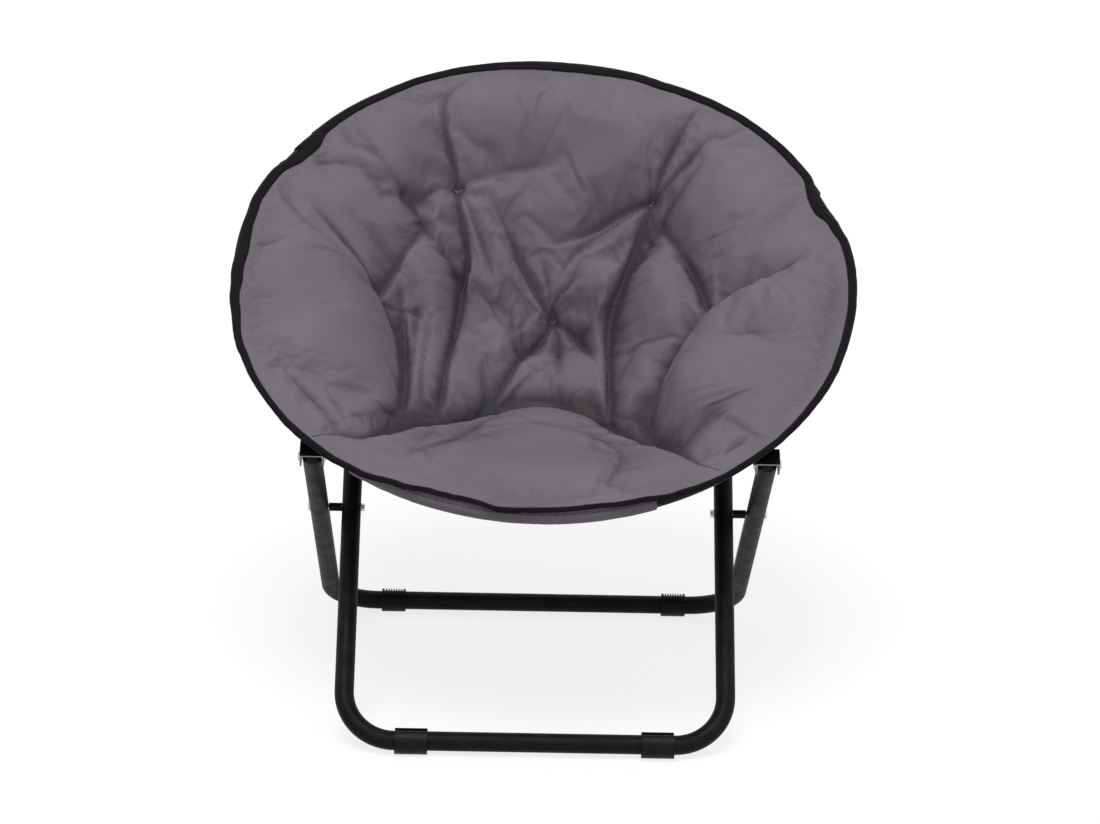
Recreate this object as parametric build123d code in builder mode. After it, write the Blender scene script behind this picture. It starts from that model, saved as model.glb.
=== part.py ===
from build123d import *
import os
from math import acos, asin, cos, degrees, hypot, radians, sin, sqrt

# Folding saucer chair: a round tube ring in two hinged arcs, carried by two crossed U legs, with a
# padded fabric bowl. Millimetres, +X to the right as seen from the front, front at -Y, +Z up.
# The origin lies on the floor under the middle of the whole chair.

os.makedirs("parts", exist_ok=True)

# ---- driving dimensions ----------------------------------------------------------------------------
tube_diameter = 25.0
tube_wall = 1.2

ring_radius = 394.5  # centreline of the ring tube
ring_tilt = 30.4  # the ring's rear is higher, degrees
ring_center_y = 2.07  # puts the origin under the middle of the whole chair
ring_center_z = 541.6
hinge_s = -179.0  # ring hinge, along the slope from the ring's centre, negative towards the front

front_bar_reach = 310.0  # in front of the ring's centre, on the floor
front_bar_half_width = 245.75
front_top_half_width = 242.0
rear_bar_reach = 184.6  # behind the ring's centre, on the floor
rear_bar_half_width = 281.5
rear_top_half_width = 289.0
leg_bend_radius = 66.0
leg_bend_height = 90.0  # where each leg's bent floor piece ends and its straight sides begin
front_bracket_outset = 17.0  # of the rear leg's top, outside the ring tube's centre above it
rear_bracket_outset = 0.0

bracket_sheet = 2.0
bracket_length = 26.0
bracket_side_gap = 0.85  # between the leg and each side plate
bracket_edge = 9.5  # sheet past the pivot's centre
pin_diameter = 6.0
pin_clearance = 0.3
rivet_head_diameter = 12.0
rivet_head_height = 2.6
rivet_head_taper = 24.0  # degrees
leg_end_past_pivot = 5.0
cap_nose = 0.9  # by which the round end of the leg, about the pivot, is larger than the tube
cap_gap = 0.6  # between that round end and the bracket's web
cap_depth = 16.0
plug_clearance = 0.15

spacer_diameter = 11.0
bolt_diameter = 6.0
bolt_head_diameter = 10.6
bolt_head_height = 4.7
sleeve_nut_diameter = 8.0
running_gap = 0.3
seat_gap = 0.1  # parts of one body that touch on a curve

front_clip_length = 42.0
front_clip_x = 158.0
front_clip_wall = 4.5
rear_clip_length = 33.0
rear_clip_x = 196.0
rear_clip_wall = 3.0
clip_rib_pitch = 3.5
front_clip_groove = 1.0  # width and depth, over its lower part
rear_clip_groove = 2.4  # depth of the gaps between the teeth on its upper half
clip_flat = 0.4  # depth of the flat under each clip
clip_sole_margin = 0.6  # plain band on each side of that flat, before the grooves begin
front_clip_opening = 105.0  # degrees of the bar left open, at its top
front_clip_lean = 10.0  # degrees from the top towards the back, of the middle of that opening
rear_clip_opening = 70.0
rear_clip_lean = 45.0

hinge_tube_gap = 29.0  # from the hinge axis to each tube end, along the slope
hinge_spigot_length = 22.0
hinge_pin_diameter = 6.0
hinge_head_diameter = 9.6
hinge_width = 24.6  # across the flats that the hinge pin's heads sit on
hinge_lap_gap = 0.2  # each side of the hinge's middle plane

fabric = 1.0
sleeve_clearance = 0.15
pad_clearance = 0.3
pad_thickness = 22.0
rim_thickness = 3.2
binding_thickness = 3.8
binding_start = 25.0  # degrees round the tube, from the ring's outer side
binding_end = 78.0
pad_depth = 212.0  # upper face, below the ring's plane at the middle
pad_shoulder_inset = 64.5  # where the upper face drops from the rim, in from the ring tube's centre
pad_shoulder_height = -12.0  # from the ring's plane
pad_leg_clearance = 12.0  # between the pad and the front leg that passes under it
pad_shoulder_reach = 94.5  # from the rear pivots along the slope, where the lower face keeps that clearance
pad_flank_reach = 248.0
rim_end = 79.0  # degrees round the tube, just past the binding
rim_turn = 133.0  # where the pad's lower face leaves the ring tube
rim_upper_turn = 122.0
front_sleeve_gap = 52.0  # along the ring, from a sleeve's end to the middle of the bracket
back_sleeve_gap = 33.0
side_sleeve_length = 90.0
hinge_split_gap = 0.25
tuft_depth = 7.0
tuft_radius = 26.0
tuft_lean = 30.0  # of the pad's face at a tuft, degrees
tuft_low_radius = 118.0  # tufts round the middle of the bowl, and how far they lie above its bottom
tuft_low_rise = 54.0
tuft_high_radius = 250.0
tuft_high_rise = 150.0
tufts = [
    (177.0, tuft_low_radius, tuft_low_rise),
    (-104.0, tuft_low_radius, tuft_low_rise),
    (78.0, tuft_low_radius, tuft_low_rise),
    (-155.0, tuft_high_radius, tuft_high_rise),
    (145.0, tuft_high_radius, tuft_high_rise),
]

# ---- worked out from the driving dimensions ----------------------------------------------------------
tube_radius = tube_diameter / 2
bore_radius = tube_radius - tube_wall
front_bar_y = ring_center_y - front_bar_reach
front_bar_z = tube_radius + front_clip_wall
rear_bar_y = ring_center_y + rear_bar_reach
rear_bar_z = tube_radius + rear_clip_wall
slope_y = cos(radians(ring_tilt))
slope_z = sin(radians(ring_tilt))
ring_center = Vector(0, ring_center_y, ring_center_z)
ring_normal = Vector(0, -slope_z, slope_y)
ring_slope = Vector(0, slope_y, slope_z)
ring_axis = Axis(origin=ring_center, direction=ring_normal)
hinge_angle = degrees(acos(-hinge_s / ring_radius))
hinge_x = sqrt(ring_radius**2 - hinge_s**2)
# the place of the brackets on the ring, in degrees from its front and from its rear
front_bracket_angle = degrees(asin((rear_top_half_width - front_bracket_outset) / ring_radius))
rear_bracket_angle = degrees(asin((front_top_half_width - rear_bracket_outset) / ring_radius))
front_pivot_s = -ring_radius * cos(radians(front_bracket_angle))
rear_pivot_s = ring_radius * cos(radians(rear_bracket_angle))
cap_radius = tube_radius + cap_nose
# the pivots lie below the ring tube's centre, square to the ring
pivot_drop = tube_radius + seat_gap + bracket_sheet + cap_gap + cap_radius
front_sleeve_half_angle = front_bracket_angle - degrees(front_sleeve_gap / ring_radius)
back_sleeve_half_angle = rear_bracket_angle - degrees(back_sleeve_gap / ring_radius)
side_sleeve_end = 180 - rear_bracket_angle - degrees(back_sleeve_gap / ring_radius)
side_sleeve_start = side_sleeve_end - degrees(side_sleeve_length / ring_radius)


def on_ring(x, s, n):
    """A point from the ring's own coordinates: across, up the slope, and square to the ring."""
    return ring_center + Vector(x, 0, 0) + ring_slope * s + ring_normal * n


def radial_plane(angle):
    """The plane that cuts the ring at an angle from its front: X outwards, Y square to the ring."""
    outward = Vector(sin(radians(angle)), 0, 0) - ring_slope * cos(radians(angle))
    return Plane(origin=ring_center, x_dir=outward, z_dir=outward.cross(ring_normal))


rear_pivot = on_ring(0, rear_pivot_s, -pivot_drop)
front_pivot = on_ring(0, front_pivot_s, -pivot_drop)
hinge_point = on_ring(0, hinge_s, 0)
front_bar = Vector(0, front_bar_y, front_bar_z)
rear_bar = Vector(0, rear_bar_y, rear_bar_z)

front_leg_up = (rear_pivot - front_bar).normalized()
rear_leg_up = (front_pivot - rear_bar).normalized()
front_leg_length = (rear_pivot - front_bar).length
rear_leg_length = (front_pivot - rear_bar).length
# the legs cross where a point up the front leg lies on the rear leg, in the side view
bar_to_bar = rear_bar - front_bar
scissor_reach = bar_to_bar.cross(rear_leg_up).X / front_leg_up.cross(rear_leg_up).X
scissor = front_bar + front_leg_up * scissor_reach
rear_scissor_reach = (scissor - rear_bar).length
front_splay = (front_top_half_width - front_bar_half_width) / front_leg_length
rear_splay = (rear_top_half_width - rear_bar_half_width) / rear_leg_length
scissor_front_x = front_bar_half_width + front_splay * scissor_reach
scissor_rear_x = rear_bar_half_width + rear_splay * rear_scissor_reach


def side_name(side):
    return "right" if side > 0 else "left"


def write(builder, name):
    builder.part.label = name
    export_step(builder.part, f"parts/{name}.step")


def across(point, x_from, x_to, diameter, mode=Mode.ADD):
    """A round bar or hole along X, centred on a point of the side view, in the part being made."""
    with BuildSketch(Plane.YZ.offset(x_from)) as section:
        with Locations((point.Y, point.Z)):
            Circle(diameter / 2)
    extrude(section.sketch, amount=x_to - x_from, mode=mode)


def rivet_across(point, x_from, x_to, shank, head, height):
    """A shank along X with a domed head at both ends."""
    across(point, x_from, x_to, shank)
    for x_seat, way in ((x_from, -1), (x_to, 1)):
        with BuildSketch(Plane.YZ.offset(x_seat)) as section:
            with Locations((point.Y, point.Z)):
                Circle(head / 2)
        extrude(section.sketch, amount=way * height, taper=rivet_head_taper)


# ---- legs --------------------------------------------------------------------------------------------
def leg_plane(bar, up):
    return Plane(origin=bar, x_dir=(1, 0, 0), z_dir=Vector(1, 0, 0).cross(up))


def leg_side(bar, up, x_middle, lean, start, end, holes):
    """A straight side tube of a leg, from one height up the leg to another, with its cross holes."""
    along = (up + Vector(lean, 0, 0)).normalized()
    foot = bar + Vector(x_middle, 0, 0) + (up + Vector(lean, 0, 0)) * start
    with BuildPart() as tube:
        with BuildSketch(Plane(origin=foot, z_dir=along)):
            Circle(tube_radius)
            Circle(bore_radius, mode=Mode.SUBTRACT)
        extrude(amount=(end - start) * (up + Vector(lean, 0, 0)).length)
        for center, x_hole, diameter in holes:
            across(center, x_hole - tube_diameter, x_hole + tube_diameter, diameter, Mode.SUBTRACT)
    return tube


def leg_bar(bar, up, half_width, lean, height):
    """The floor bar of a leg with its two bends, up to where the straight sides begin."""
    with BuildPart() as tube:
        with BuildLine(leg_plane(bar, up)) as path:
            top_half_width = half_width + lean * height
            corners = [(-top_half_width, height), (-half_width, 0), (half_width, 0), (top_half_width, height)]
            FilletPolyline(*corners, radius=leg_bend_radius)
        with BuildSketch(Plane(origin=path.line @ 0, z_dir=path.line % 0)):
            Circle(tube_radius)
            Circle(bore_radius, mode=Mode.SUBTRACT)
        sweep()
    return tube


pivot_hole = pin_diameter + 2 * pin_clearance
legs = [
    ("front", front_bar, front_leg_up, front_leg_length, front_bar_half_width, front_splay,
     rear_pivot, front_top_half_width, scissor_front_x, bolt_diameter + 2 * seat_gap),
    ("rear", rear_bar, rear_leg_up, rear_leg_length, rear_bar_half_width, rear_splay,
     front_pivot, rear_top_half_width, scissor_rear_x, sleeve_nut_diameter + 2 * seat_gap),
]
for name, bar, up, length, half_width, splay, pivot, x_pivot, x_scissor, scissor_hole in legs:
    floor_bar = leg_bar(bar, up, half_width, splay, leg_bend_height)
    write(floor_bar, f"{name}_leg_bar")
    for side in (-1, 1):
        holes = [(pivot, side * x_pivot, pivot_hole), (scissor, side * x_scissor, scissor_hole)]
        side_tube = leg_side(
            bar, up, side * half_width, side * splay, leg_bend_height, length + leg_end_past_pivot, holes
        )
        write(side_tube, f"{name}_leg_side_{side_name(side)}")


def leg_cap(pivot, up, x_pivot, lean):
    """The plastic end of a leg: a round nose about the pivot and a spigot in the tube."""
    along = (up + Vector(lean, 0, 0)).normalized()
    center = Vector(x_pivot, pivot.Y, pivot.Z)
    seat = center + along * (leg_end_past_pivot + seat_gap)
    with BuildPart() as cap:
        with BuildSketch(Plane(origin=seat, z_dir=along)):
            Circle(tube_radius)
        extrude(amount=tube_radius)
        with Locations(center):
            Sphere(cap_radius, mode=Mode.INTERSECT)
        with BuildSketch(Plane(origin=seat, z_dir=along)):
            Circle(bore_radius - plug_clearance)
        extrude(amount=-cap_depth)
        across(pivot, x_pivot - tube_diameter, x_pivot + tube_diameter, pivot_hole, Mode.SUBTRACT)
    return cap


for side in (-1, 1):
    front_leg_cap = leg_cap(rear_pivot, front_leg_up, side * front_top_half_width, side * front_splay)
    write(front_leg_cap, f"front_leg_cap_{side_name(side)}")
    rear_leg_cap = leg_cap(front_pivot, rear_leg_up, side * rear_top_half_width, side * rear_splay)
    write(rear_leg_cap, f"rear_leg_cap_{side_name(side)}")

# ---- scissor pivots ------------------------------------------------------------------------------------
# The bolt ends flush with its spacer, where the sleeve nut in the rear leg begins.
spacer_start = scissor_front_x + tube_radius + seat_gap
spacer_end = scissor_rear_x - tube_radius - running_gap
for side in (-1, 1):
    with BuildPart() as scissor_spacer:
        across(scissor, side * spacer_start, side * spacer_end, spacer_diameter)
        across(scissor, side * spacer_start, side * spacer_end, bolt_diameter + 2 * seat_gap, Mode.SUBTRACT)
    write(scissor_spacer, f"scissor_spacer_{side_name(side)}")

    head_seat = scissor_front_x - tube_radius - seat_gap
    with BuildPart() as scissor_bolt:
        across(scissor, side * head_seat, side * spacer_end, bolt_diameter)
        with BuildSketch(Plane.YZ.offset(side * head_seat)):
            with Locations((scissor.Y, scissor.Z)):
                RegularPolygon(bolt_head_diameter / 2, 6)
        extrude(amount=-side * bolt_head_height)
    write(scissor_bolt, f"scissor_bolt_{side_name(side)}")

    nut_seat = scissor_rear_x + tube_radius + seat_gap
    with BuildPart() as scissor_nut:
        across(scissor, side * (scissor_rear_x - tube_radius), side * nut_seat, sleeve_nut_diameter)
        with BuildSketch(Plane.YZ.offset(side * nut_seat)):
            with Locations((scissor.Y, scissor.Z)):
                Circle(rivet_head_diameter / 2)
        extrude(amount=side * rivet_head_height, taper=rivet_head_taper)
    write(scissor_nut, f"scissor_nut_{side_name(side)}")


# ---- foot clips ------------------------------------------------------------------------------------------
def foot_clip(bar, x_middle, length, wall, opening, lean, toothed):
    """A springy plastic C on the floor bar, grooved beside its plain sole or toothed on top."""
    outer_radius = tube_radius + wall + clip_flat
    sole_half_width = sqrt(outer_radius**2 - (outer_radius - clip_flat) ** 2)
    x_start = x_middle - length / 2
    groove_width = clip_rib_pitch / 2 if toothed else front_clip_groove
    groove_depth = rear_clip_groove if toothed else front_clip_groove
    plain_half = -1 if toothed else 1
    with BuildPart() as clip:
        across(bar, x_start, x_start + length, 2 * outer_radius)
        groove_count = int((length - clip_rib_pitch) / clip_rib_pitch)
        groove_span = (groove_count - 1) * clip_rib_pitch
        for groove in range(groove_count):
            x_groove = x_middle - groove_span / 2 + groove * clip_rib_pitch
            with BuildSketch(Plane.YZ.offset(x_groove - groove_width / 2)):
                with Locations((bar.Y, bar.Z)):
                    Circle(outer_radius + groove_depth)
                    Circle(outer_radius - groove_depth, mode=Mode.SUBTRACT)
                with Locations((bar.Y, bar.Z + plain_half * outer_radius)):
                    Rectangle(4 * outer_radius, 2 * outer_radius, mode=Mode.SUBTRACT)
                # the sole that stands on the floor stays one face
                with Locations((bar.Y, bar.Z - outer_radius)):
                    Rectangle(2 * (sole_half_width + clip_sole_margin), outer_radius, mode=Mode.SUBTRACT)
            extrude(amount=groove_width, mode=Mode.SUBTRACT)
        across(bar, x_start, x_start + length, 2 * (tube_radius + seat_gap), Mode.SUBTRACT)
        # the flat that stands on the floor
        with BuildSketch(Plane.YZ.offset(x_start)):
            with Locations((bar.Y, bar.Z - tube_radius - wall - outer_radius)):
                Rectangle(4 * outer_radius, 2 * outer_radius)
        extrude(amount=length, mode=Mode.SUBTRACT)
        slot_half = (tube_radius + seat_gap) * sin(radians(opening / 2))
        slot_way = (0, sin(radians(lean)), cos(radians(lean)))
        slot_plane = Plane(origin=(x_start, bar.Y, bar.Z), x_dir=slot_way, z_dir=(1, 0, 0))
        with BuildSketch(slot_plane):
            with Locations((outer_radius, 0)):
                Rectangle(2 * outer_radius, 2 * slot_half)
        extrude(amount=length, mode=Mode.SUBTRACT)
    return clip


for side in (-1, 1):
    front_clip = foot_clip(
        front_bar,
        side * front_clip_x,
        front_clip_length,
        front_clip_wall,
        front_clip_opening,
        front_clip_lean,
        toothed=False,
    )
    write(front_clip, f"front_foot_clip_{side_name(side)}")
    rear_clip = foot_clip(
        rear_bar,
        side * rear_clip_x,
        rear_clip_length,
        rear_clip_wall,
        rear_clip_opening,
        rear_clip_lean,
        toothed=True,
    )
    write(rear_clip, f"rear_foot_clip_{side_name(side)}")


# ---- ring tubes and their hinges ----------------------------------------------------------------------------
def ring_band(start, sweep_angle, outer, inner=0.0, mode=Mode.ADD):
    """A round or hollow bar along the ring from an angle, in the part being made."""
    with BuildSketch(radial_plane(start)) as section:
        with Locations((ring_radius, 0)):
            Circle(outer)
            if inner > 0:
                Circle(inner, mode=Mode.SUBTRACT)
    revolve(section.sketch, axis=ring_axis, revolution_arc=sweep_angle, mode=mode)


def ring_angle(s):
    """The angle from the ring's front at a distance up the slope."""
    return degrees(acos(-s / ring_radius))


front_tube_end = ring_angle(hinge_s - hinge_tube_gap)
rear_tube_start = ring_angle(hinge_s + hinge_tube_gap)

with BuildPart() as ring_front_tube:
    ring_band(-front_tube_end, 2 * front_tube_end, tube_radius, bore_radius)
write(ring_front_tube, "ring_front_tube")

with BuildPart() as ring_rear_tube:
    ring_band(rear_tube_start, 360 - 2 * rear_tube_start, tube_radius, bore_radius)
write(ring_rear_tube, "ring_rear_tube")


def hinge_end(side, front):
    """A lapped hinge end in the ring's tube: a spigot, a shaped neck and half of the knuckle.

    The front end is the inner half and the rear end the outer half, so that they pass by each other."""
    spigot_angle = degrees(hinge_spigot_length / ring_radius)
    tube_end = front_tube_end if front else rear_tube_start
    spigot_end = tube_end - spigot_angle if front else tube_end + spigot_angle
    spigot_low, spigot_high = min(tube_end, spigot_end), max(tube_end, spigot_end)
    lap_way = -1 if front else 1
    reach = hinge_tube_gap + tube_diameter
    knuckle_angle = degrees(tube_diameter / ring_radius)
    far_angle = hinge_angle + knuckle_angle if front else hinge_angle - knuckle_angle
    band_low, band_high = min(tube_end, far_angle), max(tube_end, far_angle)
    with BuildPart() as end:
        ring_band(side * band_low, side * (band_high - band_low), tube_radius)
        # past the pin the end is round, so that it can turn
        far_way = 1 if front else -1
        side_view = Plane(
            origin=(side * (hinge_x - reach), hinge_point.Y, hinge_point.Z),
            x_dir=ring_slope,
            z_dir=(1, 0, 0),
        )
        with BuildSketch(side_view):
            with Locations((far_way * reach / 2, 0)):
                Rectangle(reach, 2 * reach)
            Circle(tube_radius, mode=Mode.SUBTRACT)
        extrude(amount=side * 2 * reach, mode=Mode.SUBTRACT)
        # flats for the pin's heads
        for flat_way in (-1, 1):
            flat_x = side * (hinge_x + flat_way * hinge_width / 2)
            across(hinge_point, flat_x, flat_x + side * flat_way * tube_radius, tube_diameter,
                   Mode.SUBTRACT)
        # the other end's half of the knuckle and neck
        x_lap = side * (hinge_x + lap_way * hinge_lap_gap)
        with BuildSketch(Plane.YZ.offset(x_lap)):
            with Locations((hinge_point.Y, hinge_point.Z)):
                Circle(reach)
        extrude(amount=-side * lap_way * reach, mode=Mode.SUBTRACT)
        ring_band(side * spigot_low, side * (spigot_high - spigot_low), bore_radius - plug_clearance)
        hinge_hole = hinge_pin_diameter + 2 * pin_clearance
        hole_x = side * (hinge_x - tube_diameter)
        across(hinge_point, hole_x, hole_x + side * 2 * tube_diameter, hinge_hole, Mode.SUBTRACT)
    return end


for side in (-1, 1):
    hinge_end_front = hinge_end(side, True)
    write(hinge_end_front, f"hinge_end_front_{side_name(side)}")
    hinge_end_rear = hinge_end(side, False)
    write(hinge_end_rear, f"hinge_end_rear_{side_name(side)}")

    pin_inner = hinge_x - hinge_width / 2 - seat_gap
    pin_outer = hinge_x + hinge_width / 2 + seat_gap
    with BuildPart() as hinge_pin:
        rivet_across(
            hinge_point,
            min(side * pin_inner, side * pin_outer),
            max(side * pin_inner, side * pin_outer),
            hinge_pin_diameter,
            hinge_head_diameter,
            rivet_head_height,
        )
    write(hinge_pin, f"ring_hinge_pin_{side_name(side)}")


# ---- pivot brackets -------------------------------------------------------------------------------------------
def pivot_bracket(pivot, pivot_s, x_middle):
    """A sheet channel under the ring tube: a web that the tube rests on, and a plate each side of the leg."""
    inner_width = tube_diameter + 2 * bracket_side_gap
    outer_width = inner_width + 2 * bracket_sheet
    web_top = -tube_radius - seat_gap
    section = Plane(
        origin=on_ring(x_middle, pivot_s - bracket_length / 2, 0), x_dir=(1, 0, 0), z_dir=ring_slope * -1
    )
    low = pivot_drop + bracket_edge
    with BuildPart() as bracket:
        with BuildSketch(section):
            with BuildLine():
                Polyline(
                    (-outer_width / 2, -low),
                    (-outer_width / 2, web_top),
                    (outer_width / 2, web_top),
                    (outer_width / 2, -low),
                    (inner_width / 2, -low),
                    (inner_width / 2, web_top - bracket_sheet),
                    (-inner_width / 2, web_top - bracket_sheet),
                    (-inner_width / 2, -low),
                    close=True,
                )
            make_face()
        extrude(amount=-bracket_length)
        lowest = bracket.edges().filter_by(Axis.X).group_by(Axis(ring_center, ring_normal))[0]
        fillet(lowest, bracket_edge - 0.5)
        upper = bracket.edges().filter_by(lambda e: abs(e.tangent_at(0.5).dot(ring_slope)) > 0.99)
        outer_upper = [e for e in upper if (e.center() - ring_center).dot(ring_normal) > web_top - 0.5]
        fillet(outer_upper, bracket_sheet * 0.9)
        across(
            pivot,
            x_middle - outer_width,
            x_middle + outer_width,
            pin_diameter + 2 * seat_gap,
            Mode.SUBTRACT,
        )
    return bracket


def pivot_pin(pivot, x_middle):
    """A domed rivet through both plates and the leg."""
    half_width = tube_radius + bracket_side_gap + bracket_sheet + seat_gap
    with BuildPart() as pin:
        rivet_across(
            pivot,
            x_middle - half_width,
            x_middle + half_width,
            pin_diameter,
            rivet_head_diameter,
            rivet_head_height,
        )
    return pin


for side in (-1, 1):
    front_bracket = pivot_bracket(front_pivot, front_pivot_s, side * rear_top_half_width)
    write(front_bracket, f"front_bracket_{side_name(side)}")
    rear_bracket = pivot_bracket(rear_pivot, rear_pivot_s, side * front_top_half_width)
    write(rear_bracket, f"rear_bracket_{side_name(side)}")
    front_pivot_pin = pivot_pin(front_pivot, side * rear_top_half_width)
    write(front_pivot_pin, f"front_pivot_pin_{side_name(side)}")
    rear_pivot_pin = pivot_pin(rear_pivot, side * front_top_half_width)
    write(rear_pivot_pin, f"rear_pivot_pin_{side_name(side)}")

# ---- fabric sleeves round the ring ------------------------------------------------------------------------------
sleeve_inner = tube_radius + sleeve_clearance
sleeve_outer = sleeve_inner + fabric

with BuildPart() as front_sleeve:
    ring_band(-front_sleeve_half_angle, 2 * front_sleeve_half_angle, sleeve_outer, sleeve_inner)
write(front_sleeve, "front_sleeve")

with BuildPart() as back_sleeve_middle:
    ring_band(180 - back_sleeve_half_angle, 2 * back_sleeve_half_angle, sleeve_outer, sleeve_inner)
write(back_sleeve_middle, "back_sleeve_middle")

for side in (-1, 1):
    with BuildPart() as back_sleeve_side:
        side_sweep = side * (side_sleeve_end - side_sleeve_start)
        ring_band(side * side_sleeve_start, side_sweep, sleeve_outer, sleeve_inner)
    write(back_sleeve_side, f"back_sleeve_{side_name(side)}")

# ---- padded bowl ------------------------------------------------------------------------------------------------
rim_inner = sleeve_outer + pad_clearance
rim_outer = rim_inner + rim_thickness


def round_tube(radius, angle):
    """A point of the radial section, round the ring tube from its outer side."""
    return (ring_radius + radius * cos(radians(angle)), radius * sin(radians(angle)))


def over_front_leg(reach):
    """Radius and height, clear over the front leg, at a distance down the slope from its pivot."""
    leg_s = front_leg_up.dot(ring_slope)
    leg_n = front_leg_up.dot(ring_normal)
    top = -pivot_drop - reach * leg_n / leg_s + tube_radius / leg_s
    return (hypot(front_top_half_width, rear_pivot_s - reach), top + pad_leg_clearance)


def bowl_revolve(front):
    """The crowned pad of one ring arc: the radial section turned all round, then cut at the hinge line."""
    lower_end = round_tube(rim_inner, rim_turn)
    upper_end = round_tube(rim_outer, rim_upper_turn)
    upper_shoulder = (ring_radius - pad_shoulder_inset, pad_shoulder_height)
    under_shoulder = over_front_leg(pad_shoulder_reach)
    under_flank = over_front_leg(pad_flank_reach)
    rim_tangent = (sin(radians(rim_upper_turn)), -cos(radians(rim_upper_turn)))
    with BuildPart() as pad:
        with BuildSketch(radial_plane(0)):
            with BuildLine():
                inner_arc = ThreePointArc(
                    round_tube(rim_inner, rim_end),
                    round_tube(rim_inner, (rim_end + rim_turn) / 2),
                    lower_end,
                )
                lower_side = ThreePointArc(lower_end, under_shoulder, under_flank)
                lower_bowl = Spline(
                    lower_side @ 1,
                    (120.0, -pad_depth + tuft_low_rise - pad_thickness),
                    (0.0, -pad_depth - pad_thickness),
                    tangents=(lower_side % 1, (-1, 0)),
                )
                middle = Line(lower_bowl @ 1, (0.0, -pad_depth))
                upper_bowl = Spline(
                    middle @ 1,
                    (tuft_low_radius, -pad_depth + tuft_low_rise),
                    (tuft_high_radius, -pad_depth + tuft_high_rise),
                    upper_shoulder,
                    upper_end,
                    tangents=((1, 0), rim_tangent),
                )
                outer_arc = ThreePointArc(
                    upper_end,
                    round_tube(rim_outer, (rim_end + rim_upper_turn) / 2),
                    round_tube(rim_outer, rim_end),
                )
                Line(outer_arc @ 1, inner_arc @ 0)
            make_face()
        revolve(axis=ring_axis)
        # the stitched tufts that pull the upper face down
        for tuft_angle, tuft_place, tuft_rise in tufts:
            outward = radial_plane(tuft_angle)
            lift = tuft_radius - tuft_depth
            tuft_out = tuft_place - lift * sin(radians(tuft_lean))
            tuft_up = -pad_depth + tuft_rise + lift * cos(radians(tuft_lean))
            with Locations(outward.from_local_coords((tuft_out, tuft_up, 0))):
                Sphere(tuft_radius, mode=Mode.SUBTRACT)
        keep_side = 1 if front else -1
        cut_origin = on_ring(0, hinge_s + hinge_split_gap * -keep_side, 0)
        with BuildSketch(Plane(origin=cut_origin, x_dir=(1, 0, 0), z_dir=ring_slope * keep_side)):
            Rectangle(4 * ring_radius, 4 * ring_radius)
        extrude(amount=2.5 * ring_radius, mode=Mode.SUBTRACT)
    return pad


seat_pad_front = bowl_revolve(True)
write(seat_pad_front, "seat_pad_front")
seat_pad_rear = bowl_revolve(False)
write(seat_pad_rear, "seat_pad_rear")


def binding_band(start, sweep_angle):
    """The bound edge of the pad: a tape that lies over the outer shoulder of the ring tube."""
    outer = rim_inner + binding_thickness
    with BuildPart() as binding:
        with BuildSketch(radial_plane(start)):
            with BuildLine():
                middle_angle = (binding_start + binding_end) / 2
                inside = ThreePointArc(
                    round_tube(rim_inner, binding_start),
                    round_tube(rim_inner, middle_angle),
                    round_tube(rim_inner, binding_end),
                )
                outside = ThreePointArc(
                    round_tube(outer, binding_end),
                    round_tube(outer, middle_angle),
                    round_tube(outer, binding_start),
                )
                Line(inside @ 1, outside @ 0)
                Line(outside @ 1, inside @ 0)
            make_face()
        revolve(axis=ring_axis, revolution_arc=sweep_angle)
    return binding


split_angle = degrees(hinge_split_gap / ring_radius)
binding_front = binding_band(-hinge_angle + split_angle, 2 * (hinge_angle - split_angle))
write(binding_front, "binding_front")
binding_rear = binding_band(hinge_angle + split_angle, 360 - 2 * (hinge_angle + split_angle))
write(binding_rear, "binding_rear")

print("scissor", scissor, "hinge", hinge_x, hinge_point)
print("front pivot", front_pivot, "rear pivot", rear_pivot)
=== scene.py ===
"""Folding saucer chair: the looks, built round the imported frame. Metres, +X right, front at -Y, +Z up."""
from math import atan2, cos, degrees, hypot, pi, radians, sin

import bmesh
import bpy
import numpy as np
from mathutils import Matrix, Vector, noise


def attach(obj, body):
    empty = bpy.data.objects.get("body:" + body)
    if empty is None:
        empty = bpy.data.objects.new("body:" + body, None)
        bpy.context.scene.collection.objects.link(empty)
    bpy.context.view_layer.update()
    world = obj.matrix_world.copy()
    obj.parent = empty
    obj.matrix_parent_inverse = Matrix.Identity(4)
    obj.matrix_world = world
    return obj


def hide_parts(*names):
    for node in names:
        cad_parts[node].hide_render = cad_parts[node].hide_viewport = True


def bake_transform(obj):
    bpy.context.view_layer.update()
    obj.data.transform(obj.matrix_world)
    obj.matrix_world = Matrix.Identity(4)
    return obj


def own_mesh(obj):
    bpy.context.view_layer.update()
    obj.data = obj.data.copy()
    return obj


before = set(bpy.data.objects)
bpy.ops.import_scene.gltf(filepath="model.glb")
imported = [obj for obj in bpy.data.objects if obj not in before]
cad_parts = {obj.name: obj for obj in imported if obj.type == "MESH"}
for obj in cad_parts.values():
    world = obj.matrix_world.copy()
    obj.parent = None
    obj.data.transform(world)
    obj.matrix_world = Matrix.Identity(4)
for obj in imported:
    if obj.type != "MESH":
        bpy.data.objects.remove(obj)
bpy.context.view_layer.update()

MM = 0.001

# ---- the ring's own coordinates: x across, s up the slope, n square to the ring -----------------------
RING_RADIUS = 394.5
RING_TILT = radians(30.4)
RING_CENTER = np.array([0.0, 2.07, 541.6])
SLOPE = np.array([0.0, cos(RING_TILT), sin(RING_TILT)])
NORMAL = np.array([0.0, -sin(RING_TILT), cos(RING_TILT)])
HINGE_S = -179.0  # the line of the ring's hinges


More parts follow.
